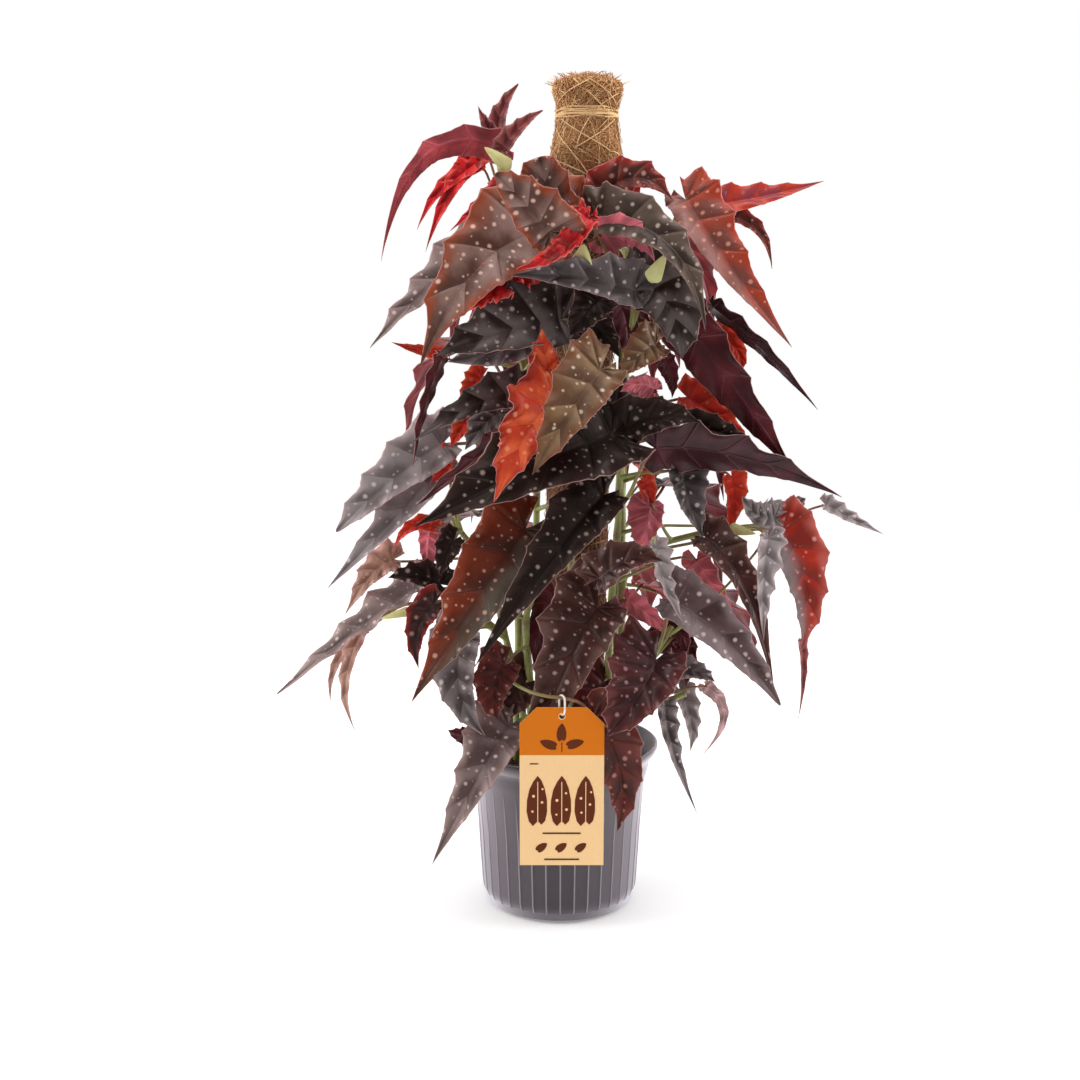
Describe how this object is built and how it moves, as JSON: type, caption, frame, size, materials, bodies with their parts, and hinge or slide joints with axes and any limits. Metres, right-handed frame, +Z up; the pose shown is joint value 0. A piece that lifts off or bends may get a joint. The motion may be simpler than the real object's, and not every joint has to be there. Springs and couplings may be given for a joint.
{
  "type": "potted begonia",
  "caption": "Tall cane begonia with spotted angel-wing leaves, tied up a coir pole in a ribbed nursery pot, with a hanging care tag.",
  "frame": {"origin": "middle of the pot's flat foot", "axes": "+Z up along the pot's axis, -Y to the front where the tag hangs, +X to the plant's right as seen from the front"},
  "size_m": [0.6031, 0.3945, 0.823],
  "materials": {
    "pot_plastic": "satin anthracite plastic with vertical ribs",
    "potting_soil": "dark crumbly potting soil",
    "coir": "loose brown coconut fibre",
    "straw_cord": "straw-coloured twine",
    "tag_card": "coated card, cream below an orange head",
    "clear_loop": "milky plastic loop",
    "foliage": "dark spotted leaves with red to maroon undersides on green canes"
  },
  "bodies": {
    "root": {"pot": "pot_plastic", "soil": "potting_soil", "coir_pole": "coir", "pole_tie": "straw_cord", "care_tag": "tag_card", "tag_loop": "clear_loop", "cane_front_left": "foliage", "cane_front_middle_left": "foliage", "cane_front": "foliage", "cane_front_right": "foliage", "cane_top_left": "foliage", "cane_top_right": "foliage", "cane_right": "foliage", "cane_low_right": "foliage", "cane_back_left": "foliage", "cane_back_right": "foliage"}
  },
  "joints": []
}
